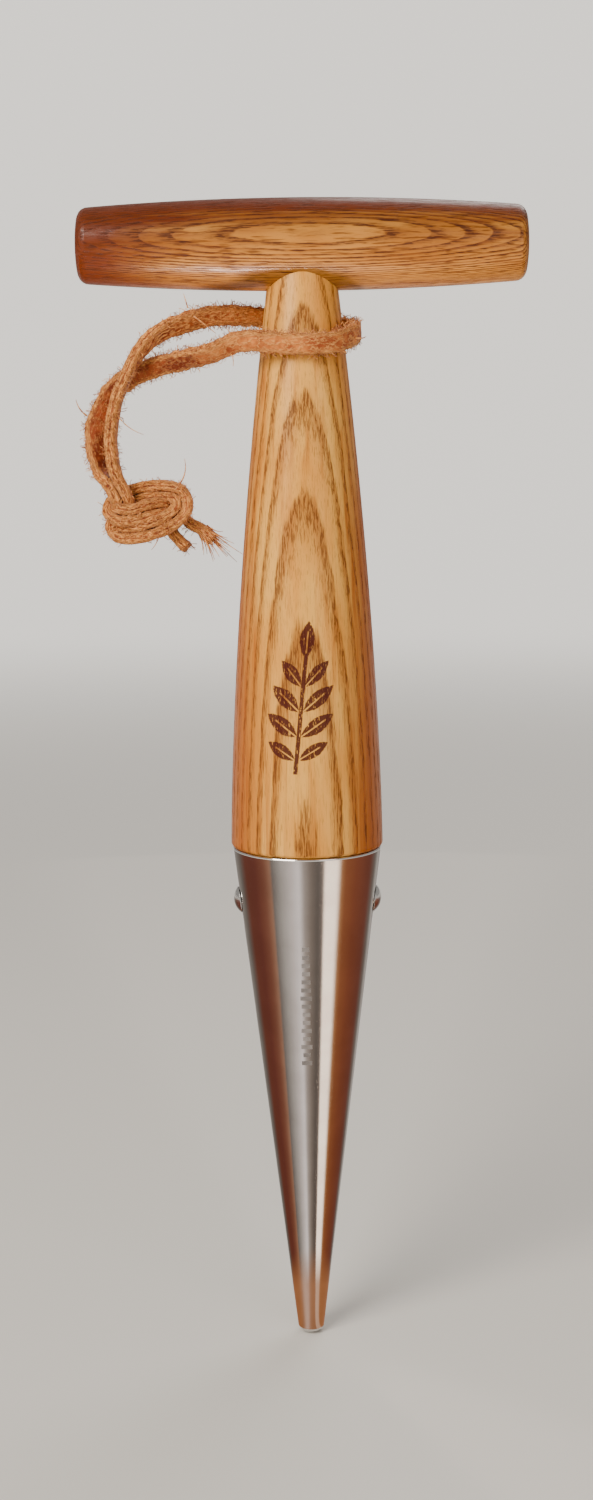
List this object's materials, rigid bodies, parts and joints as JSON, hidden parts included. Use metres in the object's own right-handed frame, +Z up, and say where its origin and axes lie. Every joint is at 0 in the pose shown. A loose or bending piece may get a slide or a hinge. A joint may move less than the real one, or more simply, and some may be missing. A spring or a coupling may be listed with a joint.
{
  "type": "garden dibber",
  "caption": "T-handled garden dibber: turned wooden crossbar and tapered shaft, hollow steel point pinned to the shaft, and a leather hanging thong round the neck.",
  "frame": {"origin": "centre of the blunt tip's end face, where the tool enters the soil", "axes": "+Z up the tool's axis from the tip to the crossbar, X along the crossbar, Y across it; the thong hangs on the -X side"},
  "size_m": [0.112, 0.0378, 0.2826],
  "materials": {
    "bar_wood": "varnished ash, satin",
    "shaft_wood": "varnished ash, satin",
    "point_steel": "polished stainless steel",
    "pin_steel": "polished stainless steel",
    "thong_leather": "tan oiled leather with a rough cut edge"
  },
  "bodies": {
    "root": {"crossbar": "bar_wood", "shaft": "shaft_wood", "steel_point": "point_steel", "pin_left": "pin_steel", "pin_right": "pin_steel"},
    "thong": {"thong_lace": "thong_leather", "thong_knot": "thong_leather"}
  },
  "joints": [
    {"name": "thong_swivel", "type": "hinge", "parent": "root", "child": "thong", "pos_m": [0, 0, 0.247], "axis": [0, 0, 1], "continuous": true}
  ]
}
